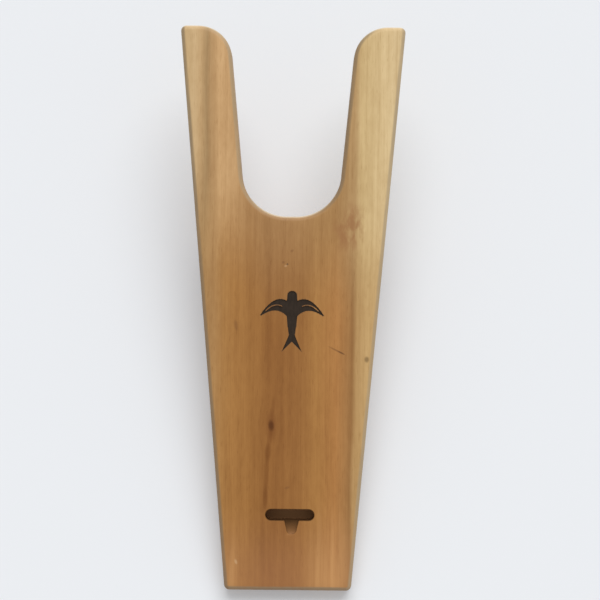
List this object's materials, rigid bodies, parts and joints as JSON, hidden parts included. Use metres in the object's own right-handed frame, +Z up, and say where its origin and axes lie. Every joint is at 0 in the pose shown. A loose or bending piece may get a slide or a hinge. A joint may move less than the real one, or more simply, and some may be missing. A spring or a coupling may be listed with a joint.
{
  "type": "boot jack",
  "caption": "Tapered wooden boot jack with a rounded heel notch, a burnt bird, a T-shaped hanging slot and a screwed-on cross riser.",
  "frame": {"origin": "on the floor, at the middle of the footprint of the whole jack as it stands in use", "axes": "+Z up from the floor, +Y along the jack's length towards the raised heel notch, +X to the right of someone standing at the tail and facing the notch"},
  "size_m": [0.15, 0.3708, 0.086],
  "materials": {
    "board_wood": "thin satin varnish on straight-grained orange-brown hardwood with a paler sapwood edge",
    "riser_wood": "thin satin varnish, end grain on both ends",
    "screw_steel": "zinc plated",
    "pin_steel": "dulled bare steel"
  },
  "bodies": {
    "root": {"board": "board_wood", "riser": "riser_wood", "riser_screws": "screw_steel", "riser_pin": "pin_steel"}
  },
  "joints": []
}
